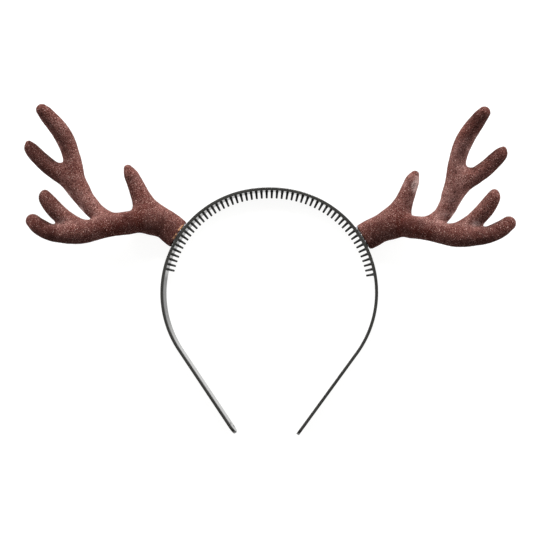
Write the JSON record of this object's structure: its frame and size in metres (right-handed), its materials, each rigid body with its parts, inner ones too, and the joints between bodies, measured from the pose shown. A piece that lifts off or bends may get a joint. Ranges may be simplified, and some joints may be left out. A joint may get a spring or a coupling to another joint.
{
  "type": "reindeer antler headband",
  "caption": "Sprung black plastic hair band with inner comb teeth and a pair of brown flocked reindeer antlers glued to its shoulders, worn over the head as a costume.",
  "frame": {"origin": "middle of the object's box in X and Y, on the floor that the band's back edge lies on", "axes": "+X across the head to the right antler's tips, +Y from the open end of the band to its crown, +Z from the band's back edge to its front, the way the antlers sweep"},
  "size_m": [0.2922, 0.1952, 0.0478],
  "materials": {
    "black_plastic": "moulded, semi-gloss",
    "brown_flock": "short flock on a plastic moulding, paler where it catches light",
    "hot_melt": "set hot-melt glue, cloudy"
  },
  "bodies": {
    "root": {"hair_band": "black_plastic", "antler_left": "brown_flock", "antler_right": "brown_flock", "glue_left": "hot_melt", "glue_right": "hot_melt"}
  },
  "joints": []
}
